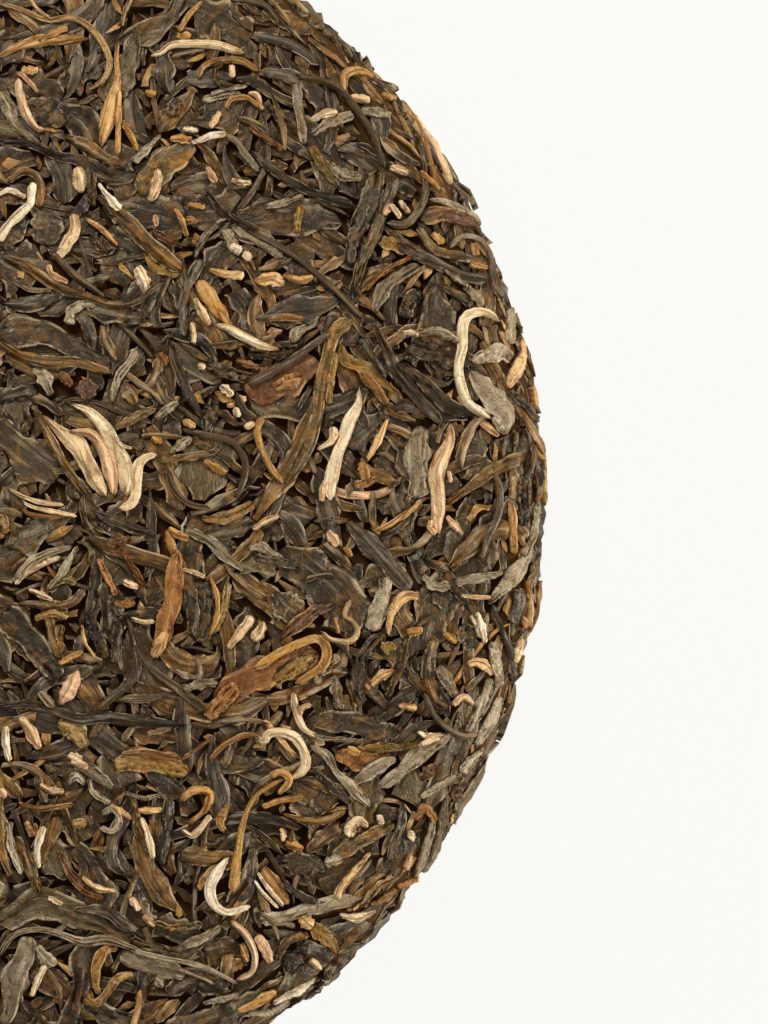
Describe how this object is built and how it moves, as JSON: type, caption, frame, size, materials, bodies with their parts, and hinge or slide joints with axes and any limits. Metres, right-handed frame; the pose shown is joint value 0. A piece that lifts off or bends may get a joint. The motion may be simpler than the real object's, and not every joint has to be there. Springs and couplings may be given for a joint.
{
  "type": "pu erh tea cake",
  "caption": "Round cake of pressed aged tea leaves, its face domed and its back flat with a dimple in the middle.",
  "frame": {"origin": "middle of the circle that the cake rests on, on the surface under it", "axes": "+Z is the cake's axis, up out of its domed face; the cake lies on its dimpled back"},
  "size_m": [0.1996, 0.1994, 0.0239],
  "materials": {
    "pressed_mass": "dry crumbled leaf pressed hard, near black in the gaps",
    "dark_leaf": "rolled dark leaf, dry, with a dull satin gloss on its ridges",
    "brown_leaf": "rolled brown leaf, dry satin",
    "grey_leaf": "crumpled grey-brown leaf, matt to satin",
    "olive_leaf": "olive-brown leaf, dry satin",
    "russet_leaf": "red-brown leaf, dry satin",
    "pale_bud": "downy pale bud, matt",
    "golden_leaf": "ochre cut leaf, dry satin",
    "silver_leaf": "woolly grey-beige leaf, matt",
    "dark_stalk": "thin dark leaf stalk, satin",
    "golden_stalk": "thin golden leaf stalk, satin"
  },
  "bodies": {
    "root": {"tea_cake": "pressed_mass"}
  },
  "joints": []
}
